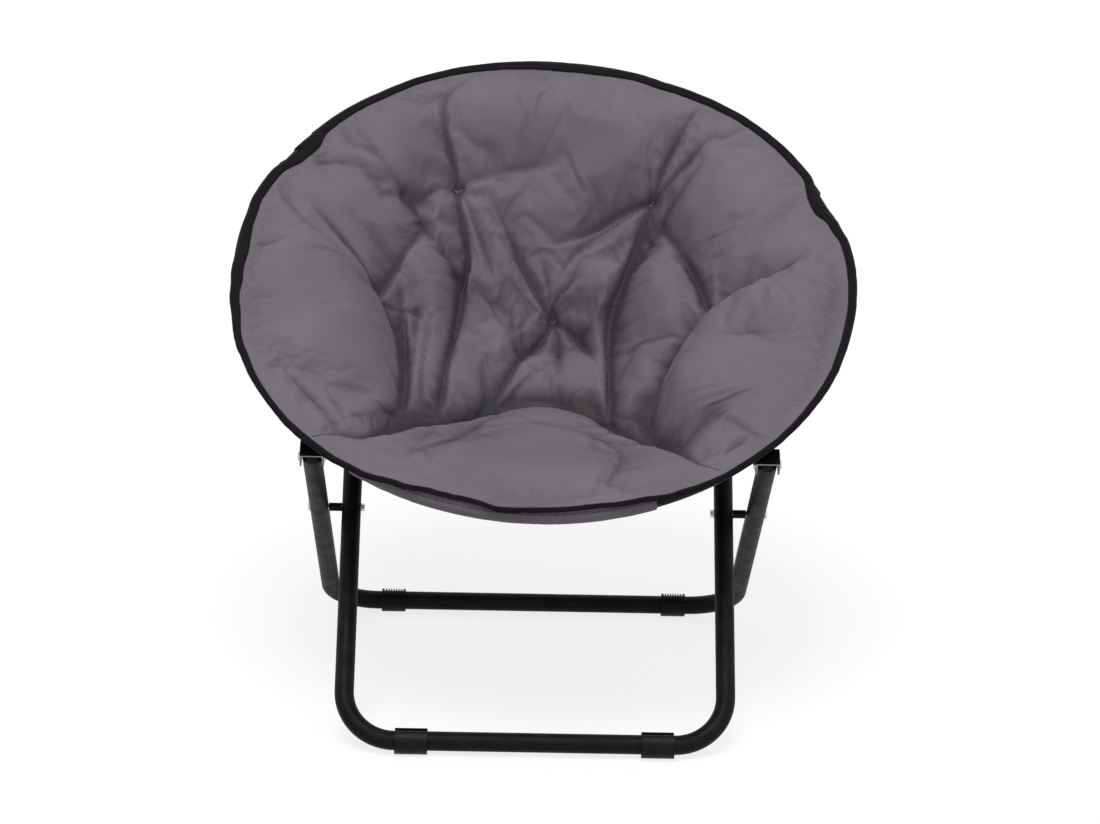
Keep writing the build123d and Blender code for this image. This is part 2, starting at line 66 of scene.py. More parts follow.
def to_world(x, s, n):
    """Points from ring coordinates in millimetres to the frame's metres."""
    x, s, n = np.broadcast_arrays(x, s, n)
    out = np.empty(x.shape + (3,))
    for axis in range(3):
        out[..., axis] = RING_CENTER[axis] + s * SLOPE[axis] + n * NORMAL[axis]
    out[..., 0] += x
    return out * MM


def to_ring(points):
    """The ring coordinates, in millimetres, of an array of world points."""
    p = np.asarray(points) / MM - RING_CENTER
    return p[:, 0], p @ SLOPE, p @ NORMAL


def wave(x, y, scale, seed):
    """Smooth noise from -1 to 1 over arrays of millimetres."""
    flat = [noise.noise(Vector((a / scale, b / scale, seed))) for a, b in zip(np.ravel(x), np.ravel(y))]
    return np.array(flat).reshape(np.shape(x))


# ---- mesh helpers -------------------------------------------------------------------------------------
def add_to_scene(obj):
    bpy.context.scene.collection.objects.link(obj)
    return obj


def new_object(name, verts, faces, smooth=True):
    mesh = bpy.data.meshes.new(name)
    mesh.from_pydata([tuple(v) for v in verts], [], [tuple(f) for f in faces])
    mesh.update()
    if smooth:
        mesh.polygons.foreach_set("use_smooth", [True] * len(mesh.polygons))
    return add_to_scene(bpy.data.objects.new(name, mesh))


def get_points(obj):
    co = np.empty(len(obj.data.vertices) * 3)
    obj.data.vertices.foreach_get("co", co)
    return co.reshape(-1, 3)


def set_points(obj, points):
    obj.data.vertices.foreach_set("co", np.asarray(points, float).ravel())
    obj.data.update()


def grid_faces(rows, columns, wrap_columns=False):
    """The four-sided faces between the points of a grid, given row by row."""
    faces = []
    last = columns if wrap_columns else columns - 1
    for row in range(rows - 1):
        for column in range(last):
            right = (column + 1) % columns
            a = row * columns + column
            b = row * columns + right
            faces.append((a, b, b + columns, a + columns))
    return faces


# ---- materials ----------------------------------------------------------------------------------------
class Nodes:
    """A short way to build a node material."""

    def __init__(self, name, color, roughness, metallic=0.0, **inputs):
        self.material = bpy.data.materials.new(name)
        self.material.use_nodes = True
        self.tree = self.material.node_tree
        self.shader = self.tree.nodes["Principled BSDF"]
        self.shader.inputs["Base Color"].default_value = (*color, 1)
        self.shader.inputs["Roughness"].default_value = roughness
        self.shader.inputs["Metallic"].default_value = metallic
        for key, value in inputs.items():
            self.shader.inputs[key.replace("_", " ")].default_value = value
        self.texture = self.tree.nodes.new("ShaderNodeTexCoord")
        self.coordinates = self.texture.outputs["Object"]

    def node(self, kind, **settings):
        made = self.tree.nodes.new(kind)
        for key, value in settings.items():
            if key in made.inputs:
                made.inputs[key].default_value = value
            else:
                setattr(made, key, value)
        return made

    def link(self, source, target):
        self.tree.links.new(source, target)

    def noise(self, scale, detail, vector=None):
        made = self.node("ShaderNodeTexNoise", Scale=scale, Detail=detail, Roughness=0.5)
        self.link(vector or self.coordinates, made.inputs["Vector"])
        return made.outputs["Fac"]

    def map_range(self, value, low, high, to_low, to_high):
        ends = {"From Min": low, "From Max": high, "To Min": to_low, "To Max": to_high}
        made = self.node("ShaderNodeMapRange", **ends)
        self.link(value, made.inputs["Value"])
        return made.outputs["Result"]

    def mix(self, factor, first, second):
        made = self.node("ShaderNodeMix", data_type="RGBA")
        self.link(factor, made.inputs["Factor"])
        for socket, value in (("A", first), ("B", second)):
            slot = [i for i in made.inputs if i.name == socket and i.type == "RGBA"][0]
            if isinstance(value, tuple):
                slot.default_value = (*value, 1)
            else:
                self.link(value, slot)
        return [o for o in made.outputs if o.type == "RGBA"][0]

    def math(self, operation, first, second=0.0):
        made = self.node("ShaderNodeMath", operation=operation)
        for index, value in enumerate((first, second)):
            if isinstance(value, (int, float)):
                made.inputs[index].default_value = value
            else:
                self.link(value, made.inputs[index])
        return made.outputs[0]

    def color(self, output):
        self.link(output, self.shader.inputs["Base Color"])

    def rough(self, output):
        self.link(output, self.shader.inputs["Roughness"])

    def bump(self, height, distance, strength, below=None):
        made = self.node("ShaderNodeBump", Strength=strength, Distance=distance)
        self.link(height, made.inputs["Height"])
        if below is not None:
            self.link(below, made.inputs["Normal"])
        return made.outputs["Normal"]

    def finish(self, normal):
        self.link(normal, self.shader.inputs["Normal"])
        return self.material


def satin(m, roughness):
    """The satin skin that both coated metals share: its uneven gloss and a fine orange peel."""
    m.rough(m.map_range(m.noise(60.0, 4.0), 0.3, 0.7, roughness - 0.07, roughness + 0.08))
    return m.finish(m.bump(m.noise(1500.0, 2.0), 0.00012, 0.5))


def powder_coat(name, color, roughness):
    """Satin black powder coat with slightly worn, paler patches."""
    m = Nodes(name, color, roughness, Specular_IOR_Level=0.1)
    worn = tuple(c * 1.8 + 0.003 for c in color)
    m.color(m.mix(m.map_range(m.noise(38.0, 5.0), 0.45, 0.75, 0.0, 1.0), color, worn))
    return satin(m, roughness)


def cut_sheet(name, color, roughness):
    """Black coated sheet steel whose cut front and rear edges are bare."""
    m = Nodes(name, color, roughness, Specular_IOR_Level=0.1)
    facing = m.node("ShaderNodeVectorMath", operation="DOT_PRODUCT")
    m.link(m.texture.outputs["Normal"], facing.inputs[0])
    facing.inputs[1].default_value = tuple(SLOPE)
    bare = m.map_range(m.math("ABSOLUTE", facing.outputs["Value"]), 0.93, 0.97, 0.0, 1.0)
    scratched = m.math("MULTIPLY", bare, m.map_range(m.noise(160.0, 3.0), 0.3, 0.45, 0.55, 1.0))
    m.color(m.mix(scratched, color, BARE_STEEL))
    return satin(m, roughness)


def molded_plastic(name, color):
    """Matt plastic with the fine grain of its mould."""
    m = Nodes(name, color, 0.45, Specular_IOR_Level=0.14)
    m.rough(m.map_range(m.noise(90.0, 3.0), 0.3, 0.7, 0.36, 0.52))
    return m.finish(m.bump(m.noise(2600.0, 2.0), 0.0001, 0.6))


def zinc_plate(name):
    """Bright zinc: streaks of rolled sheet and a soft mottling."""
    m = Nodes(name, (0.62, 0.62, 0.6), 0.32, metallic=1.0)
    stretch = m.node("ShaderNodeMapping")
    stretch.inputs["Scale"].default_value = (14.0, 1.0, 1.0)
    m.link(m.coordinates, stretch.inputs["Vector"])
    streaks = m.noise(160.0, 4.0, vector=stretch.outputs["Vector"])
    m.color(m.mix(m.noise(120.0, 3.0), (0.5, 0.5, 0.48), (0.72, 0.72, 0.7)))
    m.rough(m.map_range(streaks, 0.3, 0.7, 0.22, 0.45))
    return m.finish(m.bump(streaks, 0.00005, 0.4))


def weave_height(m, pitch):
    """Over and under of a plain weave, laid out in the ring's plane by the object's coordinates."""
    turn = m.node("ShaderNodeMapping")
    turn.inputs["Rotation"].default_value = (-RING_TILT, 0.0, 0.0)
    m.link(m.coordinates, turn.inputs["Vector"])
    parts = m.node("ShaderNodeSeparateXYZ")
    m.link(turn.outputs["Vector"], parts.inputs[0])
    across = m.math("SINE", m.math("MULTIPLY", parts.outputs["X"], 2 * pi / pitch))
    along = m.math("SINE", m.math("MULTIPLY", parts.outputs["Y"], 2 * pi / pitch))
    return m.math("MULTIPLY", across, along)


def polyester(name, color):
    """Coated polyester: a fine plain weave, cloudy shade, shade painted into the colour of the hollows, and a
    soft sheen.
    """
    m = Nodes(name, color, 0.55, Sheen_Weight=0.06, Sheen_Roughness=0.4, Specular_IOR_Level=0.16)
    m.shader.inputs["Sheen Tint"].default_value = (0.85, 0.83, 0.9, 1)
    dark = tuple(c * 0.93 for c in color)
    light = (color[0] * 1.07, color[1] * 1.06, color[2] * 1.08)
    cloudy = m.mix(m.map_range(m.noise(9.0, 4.0), 0.35, 0.65, 0.0, 1.0), dark, light)
    # painted shade: a point attribute of the pad darkens the cloth towards the folds
    painted_shade = m.node("ShaderNodeAttribute", attribute_name="painted_shade").outputs["Fac"]
    m.color(m.mix(painted_shade, cloudy, tuple(c * PAINTED_SHADE_TINT for c in color)))
    m.rough(m.map_range(m.noise(25.0, 3.0), 0.3, 0.7, 0.47, 0.62))
    weave = m.bump(weave_height(m, CLOTH_PITCH), 0.00012, 0.35)
    return m.finish(m.bump(m.noise(700.0, 3.0), 0.00015, 0.25, below=weave))


def ribbed_tape(name, color):
    """Black binding tape: ribs across it and a dull sheen."""
    m = Nodes(name, color, 0.7, Sheen_Weight=0.02, Specular_IOR_Level=0.08)
    m.color(m.mix(m.noise(45.0, 3.0), color, tuple(c * 1.8 + 0.001 for c in color)))
    return m.finish(m.bump(weave_height(m, TAPE_PITCH), 0.0002, 0.5))


COAT_BLACK = (0.0050, 0.0046, 0.0051)
COAT_ROUGHNESS = 0.5
BARE_STEEL = (0.55, 0.55, 0.54)
PLASTIC_BLACK = (0.0045, 0.0042, 0.0046)
TAPE_BLACK = (0.0042, 0.0038, 0.0043)
TAPE_PITCH = 0.0016
FABRIC_GREY = (0.168, 0.149, 0.173)
PAINTED_SHADE_TINT = 0.33  # painted shade: the cloth's colour in the deepest hollows, as a share of the plain one
CLOTH_PITCH = 0.0011
THREAD_GREY = (0.035, 0.032, 0.036)
THREAD_PALE = (0.32, 0.3, 0.32)

tube_paint = powder_coat("tube_paint", COAT_BLACK, COAT_ROUGHNESS)
bracket_coat = cut_sheet("bracket_coat", COAT_BLACK, COAT_ROUGHNESS)
plastic = molded_plastic("molded_plastic", PLASTIC_BLACK)
zinc = zinc_plate("zinc_plate")
fabric = polyester("grey_polyester", FABRIC_GREY)
tape = ribbed_tape("binding_tape", TAPE_BLACK)
thread = polyester("grey_thread", THREAD_GREY)
pale_thread = polyester("pale_thread", THREAD_PALE)

# words in the CAD nodes' names, and the finish of the nodes that have them
NODE_FINISH = {
    "tube": tube_paint,
    "leg_bar": tube_paint,
    "leg_side": tube_paint,
    "hinge_end": tube_paint,
    "spacer": tube_paint,
    "leg_cap": plastic,
    "foot_clip": plastic,
    "bracket": bracket_coat,
    "pin": zinc,
    "bolt": zinc,
    "nut": zinc,
}
for node_name, node_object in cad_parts.items():
    for word, finish in NODE_FINISH.items():
        if word in node_name:
            node_object.data.materials.clear()
            node_object.data.materials.append(finish)

# ---- the padded bowl ----------------------------------------------------------------------------------
RIM_RADIUS = 402.0
# the bowl's upper and lower face, as radius and height over the ring's plane
UPPER_PROFILE = [
    (0, -212), (60, -198), (118, -163), (180, -119), (250, -69), (310, -27), (350, -1), (378, 12.0),
    (394, 17.0), (404, 17.4), (420, 15.0),
]
LOWER_PROFILE = [
    (0, -235), (60, -223), (120, -183), (190, -129), (250, -84), (325, -34), (372, -1), (385, 11.0),
    (394, 14.2), (404, 14.2), (420, 11.0),
]
# how far the bound edge lies outside its even circle: angle from the front, millimetres
EDGE_OFFSETS = [
    (-180, -10), (-171, -7), (-162, -5), (-154, -5), (-147, -7), (-138, -6), (-131, -7), (-126, -17),
    (-122, -15), (-116, -2), (-109, 0), (-102, -4), (-96, -6), (-88, -1), (-80, 3), (-70, 9), (-60, 12),
    (-48, 15), (-40, 15), (-33, 12), (-26, 4), (-19, -3), (-12, -3), (-7, 4), (0, 1), (9, -1), (18, 2),
    (24, 8), (33, 11), (45, 10), (60, 9), (78, 6), (90, 6), (98, 5), (104, -1), (108, -11), (112, -12),
    (118, -1), (127, 0), (138, -1), (144, -3), (150, -6), (156, -12), (161, -8), (169, -11), (175, -12),
    (180, -10),
]


def profile(table, r):
    """A smooth curve through a table of radius and height."""
    radii = np.array([p[0] for p in table], float)
    heights = np.array([p[1] for p in table], float)
    slopes = np.gradient(heights, radii)
    r = np.clip(r, radii[0], radii[-1])
    i = np.clip(np.searchsorted(radii, r) - 1, 0, len(radii) - 2)
    span = radii[i + 1] - radii[i]
    t = (r - radii[i]) / span
    a = heights[i] * (2 * t**3 - 3 * t**2 + 1) + heights[i + 1] * (3 * t**2 - 2 * t**3)
    return a + span * (slopes[i] * (t**3 - 2 * t**2 + t) + slopes[i + 1] * (t**3 - t**2))


def ease(t):
    """0 to 1 with soft ends, for t from 0 to 1."""
    t = np.clip(t, 0, 1)
    return t * t * (3 - 2 * t)


def table_value(table, where):
    """A value eased between the places of a table."""
    places = np.array([p[0] for p in table], float)
    values = np.array([p[1] for p in table], float)
    i = np.clip(np.searchsorted(places, where) - 1, 0, len(places) - 2)
    t = ease((where - places[i]) / (places[i + 1] - places[i]))
    return values[i] * (1 - t) + values[i + 1] * t


def edge_offset(angle):
    return table_value(EDGE_OFFSETS, angle)


# where the right wing bulges over the middle, from the back down
RIGHT_WING_LINE = [
    (341, 41), (309, 25), (273, 13), (241, 1), (216, -9), (197, -29), (170, -83), (147, -134), (149, -206),
]
# Folds of the upper face: points (x, s) along the fold; its depth at the start, middle and end; and how far
# its slope reaches to the left and to the right when walking along it. All in millimetres.
FOLDS = [
    # up from the left stitch to the rim, with the dark face on its left
    ([(-115, 233), (-120, 254), (-133, 285), (-138, 315), (-134, 337), (-112, 357)], (20, 16, 5), 30, 8),
    ([(-118, 229), (-139, 225), (-166, 197), (-190, 171)], (14, 8, 0), 26, 12),
    # pleats from the left stitch down to the seat
    ([(-115, 231), (-112, 201), (-101, 165), (-99, 135), (-108, 102), (-112, 56), (-125, -22), (-133, -126)],
     (20, 26, 18), 9, 20),
    ([(-111, 229), (-95, 197), (-79, 169), (-59, 121)], (14, 12, 2), 9, 9),
    ([(-71, 220), (-47, 191), (-27, 151), (1, 114), (17, 96)], (4, 15, 20), 16, 9),
    ([(-110, 237), (-47, 257), (24, 264)], (14, 7, 0), 30, 12),
    # the left wing and the puff beside it
    ([(-154, 167), (-178, 130), (-203, 82), (-223, 33)], (4, 15, 16), 12, 20),
    ([(-223, 33), (-202, 35), (-166, 43), (-148, 41)], (16, 13, 8), 12, 12),
    ([(-345, 133), (-313, 93), (-278, 72), (-251, 54), (-223, 33)], (5, 9, 15), 22, 9),
    ([(-304, 202), (-270, 206), (-246, 206)], (9, 7, 1), 14, 8),
    ([(-376, 42), (-346, 49), (-328, 46)], (7, 5, 1), 12, 8),
    ([(-188, 62), (-180, 0), (-176, -70), (-180, -160)], (12, 24, 20), 10, 44),
    ([(-166, 43), (-172, -8), (-168, -61), (-176, -139)], (14, 10, 8), 8, 8),
    ([(-148, 41), (-150, -5), (-158, -84), (-150, -152)], (8, 9, 10), 9, 9),
    ([(-341, -160), (-308, -198), (-281, -230), (-256, -271)], (4, 9, 7), 12, 16),
    ([(-273, -203), (-258, -226), (-247, -259)], (3, 8, 5), 9, 9),
    # up from the right stitch to the rim
    ([(150, 213), (147, 233), (146, 248), (149, 259)], (16, 12, 2), 9, 9),
    ([(150, 213), (163, 242), (178, 268), (200, 303), (218, 320)], (18, 16, 5), 15, 8),
    ([(151, 212), (178, 227), (201, 245), (230, 263)], (16, 11, 1), 9, 13),
    # from the right stitch towards the middle, and down to the seat
    ([(150, 213), (111, 205), (67, 188), (23, 174)], (22, 18, 4), 9, 20),
    ([(143, 205), (90, 187), (44, 166), (18, 125)], (10, 10, 6), 9, 9),
    ([(150, 211), (130, 164), (116, 129), (103, 98), (93, 70), (93, 14), (95, -97)], (18, 22, 20), 24, 9),
    # the right wing, which bulges over the middle
    (RIGHT_WING_LINE, (4, 36, 26), 9, 34),
    ([(168, 156), (193, 120), (214, 74), (230, 10)], (4, 20, 20), 9, 20),
    ([(201, -69), (245, -79), (350, -115)], (3, 6, 1), 16, 14),
    ([(232, -302), (249, -286), (265, -268)], (6, 9, 2), 9, 9),
    ([(213, 2), (290, 8), (392, -22)], (2, 4, 1), 18, 18),
    ([(246, -315), (277, -289), (310, -253)], (3, 6, 1), 10, 12),
    # the star of the middle stitch
    ([(-1, 162), (8, 143), (17, 96)], (3, 11, 18), 8, 9),
    ([(17, 96), (20, 116), (38, 123), (54, 151)], (20, 14, 3), 9, 9),
    ([(17, 94), (5, 67), (-26, 25), (-43, -17), (-60, -59)], (20, 19, 12), 10, 13),
    ([(18, 94), (42, 74), (69, 32), (77, -1)], (20, 15, 5), 12, 9),
    ([(18, 93), (27, 57), (25, -3)], (16, 9, 3), 9, 9),
    # the seat panel
    ([(-166, -295), (-107, -205), (-91, -160), (-34, -61)], (5, 7, 2), 8, 16),
    ([(1, -136), (45, -154), (84, -192), (105, -234), (104, -300), (85, -347)], (2, 7, 4), 16, 8),
    ([(-161, -286), (-142, -205), (-121, -154)], (2, 6, 3), 9, 9),
]
# where the back meets the seat: a sewn line from rim to rim
SEAT_SEAM = [(-288, -292), (-253, -277), (-224, -277), (-192, -233), (-159, -179), (-126, -149), (-101, -110),
             (-56, -78), (-12, -62), (29, -64), (68, -88), (91, -115), (111, -164), (136, -201), (168, -252),
             (197, -317), (226, -336)]
SEAM_DEPTH = 34
SEAM_REACH_BACK, SEAM_REACH_SEAT = 70.0, 30.0
STITCHES = [(-114, 232), (150, 213), (18, 96)]
STITCH_DEPTH, STITCH_REACH = 27, 17
PUCKERS = [(-166, 43), (230, 10), (149, -196), (-143, -120), (-182, -120)]
PUCKER_DEPTH, PUCKER_REACH = 18, 14
TUFT_PLEATS = 9
TUFT_PLEAT_DEPTH = 0.12
EVEN_SWELLING = 13.0
# rounded swellings of the filling: centre, reach across and up the slope, height
SWELLS = [
    (-150, 110, 42, 60, 10), (160, 50, 55, 60, 14), (-60, 40, 45, 60, 8), (60, 120, 40, 30, 8),
    (20, 330, 120, 40, 10), (-215, 270, 75, 55, 10), (255, 190, 70, 75, 12), (-90, 300, 40, 40, -4),
]
# long swellings: points along the crest, reach, height
ROLLS = [
    ([(-158, -60), (-110, -10), (-70, 8), (0, 2), (60, -4), (110, -30)], 46, 22),
    ([(-190, 90), (-165, 120), (-140, 90), (-140, 20)], 30, 10),
    ([(140, 130), (165, 70), (160, 0)], 34, 14),
]
# the side wings: the line where each rolls over, from the back down to the seat, with the wing on its left or
# right; how far the roll reaches, its height and how far the wing fades towards the rim
WINGS = [
    ([(-330, 150), (-285, 105), (-235, 62), (-206, 20), (-190, -40), (-184, -110), (-186, -170),
      (-200, -240)], -1, 85, 52, 150),
    ([(360, 60)] + RIGHT_WING_LINE[1:] + [(165, -260)], 1, 42, 64, 130),
]
# small lumps of the two faces: height, size and seed
UPPER_LUMPS = [(3.0, 70.0, 1.0), (1.2, 30.0, 7.0)]
UNDER_LUMPS = [(2.5, 80.0, 3.0), (1.0, 30.0, 5.0)]
SEAT_REAR, SEAT_FRONT, SEAT_HALF_WIDTH = -70.0, -330.0, 170.0
SEAT_FRONT_HEIGHT = -20.0
SEAT_LEVELLING = 0.9  # how far the seat is filled up from the bowl towards level
SEAT_FLATNESS = 0.75  # how much of the swelling the seat loses
FOLD_STRENGTH = 1.25
FOLD_WIDTH = 2.6
CROSSING_POWER = 4  # where folds cross, the higher this is, the less they add up
LEAST_THICKNESS = 5.0
FOLD_BULGE = 7.0  # how far a deep fold may push the under side out


def to_line(x, s, points):
    """Distance to a line of points, side (+ left) and the share of its length at the nearest place."""
    best = np.full(x.shape, 1e9)
    side = np.zeros(x.shape)
    share = np.zeros(x.shape)
    steps = [hypot(b[0] - a[0], b[1] - a[1]) for a, b in zip(points, points[1:])]
    walked = 0.0
    for (ax, ay), (bx, by), step in zip(points, points[1:], steps):
        dx, dy = (bx - ax) / step, (by - ay) / step
        along = np.clip((x - ax) * dx + (s - ay) * dy, 0, step)
        away = np.hypot(x - ax - along * dx, s - ay - along * dy)
        nearer = away < best
        best = np.where(nearer, away, best)
        side = np.where(nearer, dx * (s - ay) - dy * (x - ax), side)
        share = np.where(nearer, (walked + along) / sum(steps), share)
        walked += step
    return best, side, share


def smooth_line(points):
    """Corners cut twice, so that a fold bends softly."""
    for _ in range(2):
        cut = [points[0]]
        for a, b in zip(points, points[1:]):
            cut.append((0.75 * a[0] + 0.25 * b[0], 0.75 * a[1] + 0.25 * b[1]))
            cut.append((0.25 * a[0] + 0.75 * b[0], 0.25 * a[1] + 0.75 * b[1]))
        points = cut + [points[-1]]
    return points


def puffed(t):
    """1 in a fold's line, rounding off to 0 at its full width, like the side of a stuffed channel."""
    return 1 - np.sqrt(1 - np.clip(1 - t, 0, 1) ** 2)


def fold_depth(x, s):
    """Depth of the folds, seam and stitches under the swollen face, and how firmly each point is pinned."""
    total = np.zeros(x.shape)
    pinned = np.zeros(x.shape)
    for points, (first, middle, last), left, right in FOLDS:
        away, side, share = to_line(x, s, smooth_line(points))
        depth = np.where(share < 0.5, first + (middle - first) * ease(share * 2),
                         middle + (last - middle) * ease(share * 2 - 1))
        lean = ease(np.clip(side / 6.0, -1, 1) * 0.5 + 0.5)
        reach = FOLD_WIDTH * (right + (left - right) * lean)
        total += (FOLD_STRENGTH * depth * puffed(away / reach)) ** CROSSING_POWER
        pinned = np.maximum(pinned, np.clip(1.5 - away / 4.0, 0, 1) * np.clip(depth / 10.0, 0, 1))
    away, side, share = to_line(x, s, smooth_line(SEAT_SEAM))
    ends = np.clip(np.minimum(share, 1 - share) * 8, 0.2, 1)
    reach = np.where(side > 0, SEAM_REACH_BACK, SEAM_REACH_SEAT)
    total += (SEAM_DEPTH * ends * puffed(away / reach)) ** CROSSING_POWER
    pinned = np.maximum(pinned, np.clip(1.5 - away / 4.0, 0, 1))
    tufts = ((STITCHES, STITCH_DEPTH, STITCH_REACH), (PUCKERS, PUCKER_DEPTH, PUCKER_REACH))
    for centers, depth, reach in tufts:
        for tuft_x, tuft_s in centers:
            away = np.hypot(x - tuft_x, s - tuft_s)
            around = np.arctan2(s - tuft_s, x - tuft_x)
            pleat = 1 + TUFT_PLEAT_DEPTH * np.sin(around * TUFT_PLEATS + tuft_x) * np.exp(-away / 25.0)
            total += (depth * pleat * np.exp(-away / reach)) ** CROSSING_POWER
            pinned = np.maximum(pinned, np.clip(1.6 - away / 5.0, 0, 1))
    return total ** (1 / CROSSING_POWER), np.clip(pinned, 0, 1)


def lumps(x, s, table):
    return sum(height * wave(x, s, size, seed) for height, size, seed in table)


def swelling(x, s, share):
    """How far the filling lifts the upper face over the plain bowl."""
    lift = np.full(x.shape, EVEN_SWELLING)
    for center_x, center_s, reach_x, reach_s, height in SWELLS:
        lift += height * np.exp(-(((x - center_x) / reach_x) ** 2) - ((s - center_s) / reach_s) ** 2)
    for points, reach, height in ROLLS:
        away, _, along = to_line(x, s, smooth_line(points))
        ends = ease(np.clip(np.minimum(along, 1 - along) * 5, 0, 1) * 0.6 + 0.4)
        lift += height * ends * np.exp(-((away / reach) ** 2))
    seat = ease((SEAT_REAR + 25 - s) / 50) * ease((SEAT_HALF_WIDTH + 40 - np.abs(x)) / 80)
    lift = lift * (1 - SEAT_FLATNESS * seat)
    for points, outer, roll, height, fade in WINGS:
        away, side, along = to_line(x, s, smooth_line(points))
        ends = ease(np.clip(np.minimum(along * 3.5, (1 - along) * 4), 0, 1))
        inside = np.where(side * outer > 0, away, 0.0)
        lift += height * ends * (1 - puffed(inside / roll)) * np.exp(-((inside / fade) ** 2))
    lift += lumps(x, s, UPPER_LUMPS)
    return lift * ease((0.985 - share) / 0.16)


def disc_grid(cells):
    """An even square grid drawn onto a disc: unit x and y of each vertex, row by row."""
    ticks = np.linspace(-1, 1, cells + 1)
    a, b = np.meshgrid(ticks, ticks)
    far = np.maximum(np.abs(a), np.abs(b))
    near = np.minimum(np.abs(a), np.abs(b))
    with np.errstate(divide="ignore", invalid="ignore"):
        swing = np.where(far > 0, near / far * pi / 4, 0)
    wide = np.abs(a) >= np.abs(b)
    x = np.where(wide, np.sign(a) * far * np.cos(swing), np.sign(a) * far * np.sin(swing))
    y = np.where(wide, np.sign(b) * far * np.sin(swing), np.sign(b) * far * np.cos(swing))
    return x, y


def on_disc(cells):
    """Ring coordinates x and s of a disc grid that reaches the bound edge, with radius and angle."""
    ux, uy = disc_grid(cells)
    share = np.hypot(ux, uy)
    angle = np.degrees(np.arctan2(ux, -uy))
    radius = share * (RIM_RADIUS + edge_offset(angle) * share**6)
    x = radius * np.sin(np.radians(angle))
    s = -radius * np.cos(np.radians(angle))
    return x, s, radius, angle, share


GRID_CELLS = 200
# for the painted shade in the folds: over how many cells a place is compared with what lies round it; the
# depth that counts in full; its weight
PAINTED_SHADE_SCALES = [(2, 4.0, 0.45), (6, 14.0, 0.5), (18, 42.0, 0.6)]


def upper_face():
    """The upper face before the cloth settles, in ring coordinates, and its pinning."""
    x, s, radius, angle, share = on_disc(GRID_CELLS)
    depth, pinned = fold_depth(x, s)
    bowl = profile(UPPER_PROFILE, radius - edge_offset(angle) * share**6)
    level = SEAT_FRONT_HEIGHT - (s - SEAT_FRONT) * sin(RING_TILT) / cos(RING_TILT)
    seat = ease((SEAT_REAR + 30 - s) / 40) * ease((SEAT_HALF_WIDTH + 30 - np.abs(x)) / 90)
    bowl = bowl + seat * np.maximum(level - bowl, 0) * SEAT_LEVELLING
    near_rim = ease((0.99 - share) / 0.09)
    n = bowl + swelling(x, s, share) - depth * near_rim
    n = np.maximum(n, profile(LOWER_PROFILE, radius) - FOLD_BULGE)
    pinned = np.maximum(pinned, np.clip((share - 0.955) / 0.02, 0, 1))
    return x, s, n, pinned


def blurred(values, reach):
    """A grid of values softened over a number of cells."""
    steps = np.arange(-3 * reach, 3 * reach + 1)
    weights = np.exp(-0.5 * (steps / reach) ** 2)
    weights /= weights.sum()
    for axis in (0, 1):
        padding = [(3 * reach, 3 * reach) if axis == a else (0, 0) for a in (0, 1)]
        padded = np.pad(values, padding, mode="reflect", reflect_type="odd")
        values = np.apply_along_axis(lambda line: np.convolve(line, weights, mode="valid"), axis, padded)
    return values


def painted_fold_shade(n):
    """Painted shade: 0 on the crowns to 1 in the folds, where the cloth's colour is darkened to stand in for
    the shade that falls there.
    """
    total = np.zeros(n.shape)
    for reach, full, weight in PAINTED_SHADE_SCALES:
        total += weight * np.clip((blurred(n, reach) - n) / full, -0.25, 1)
    return np.clip(total, 0, 1)


def settle(obj, pinned, frames, pressure, growth, cap):
    """Runs the cloth on a sheet held at its pins, then puts a cap on how far any point moved."""
    start = get_points(obj)
    group = obj.vertex_groups.new(name="pin")
    for index, weight in enumerate(pinned):
        if weight > 0.02:
            group.add([index], float(weight), "REPLACE")
    cloth = obj.modifiers.new("cloth", "CLOTH")
    cloth.settings.quality = 6
    cloth.settings.mass = 0.2
    cloth.settings.tension_stiffness = 25
    cloth.settings.compression_stiffness = 25
    cloth.settings.shear_stiffness = 8
    cloth.settings.bending_stiffness = 0.35
    cloth.settings.air_damping = 3
    cloth.settings.vertex_group_mass = "pin"
    cloth.settings.pin_stiffness = 2.0
    cloth.settings.use_pressure = True
    cloth.settings.uniform_pressure_force = pressure
    cloth.settings.shrink_min = -growth
    cloth.settings.effector_weights.gravity = 0
    cloth.collision_settings.use_collision = False
    scene = bpy.context.scene
    for number in range(1, frames + 1):
        scene.frame_set(number)
    settled = obj.evaluated_get(bpy.context.evaluated_depsgraph_get())
    moved = np.array([v.co for v in settled.data.vertices]) - start
    obj.modifiers.remove(cloth)
    scene.frame_set(1)
    length = np.linalg.norm(moved, axis=1)
    keep = np.where(length > cap, cap / np.maximum(length, 1e-9), 1.0)
    set_points(obj, start + moved * keep[:, None])


def subdivide(obj):
    """One round of subdivision, applied."""
    modifier = obj.modifiers.new("subdivision", "SUBSURF")
    modifier.levels = 1
    modifier.render_levels = 1
    mesh = bpy.data.meshes.new_from_object(obj.evaluated_get(bpy.context.evaluated_depsgraph_get()))
    obj.modifiers.remove(modifier)
    obj.data = mesh


x, s, n, pinned = upper_face()
side_count = GRID_CELLS + 1
upper = new_object("upper_face", to_world(x, s, n).reshape(-1, 3), grid_faces(side_count, side_count))
settle(upper, pinned.ravel(), frames=22, pressure=3.0, growth=0.035, cap=0.014)

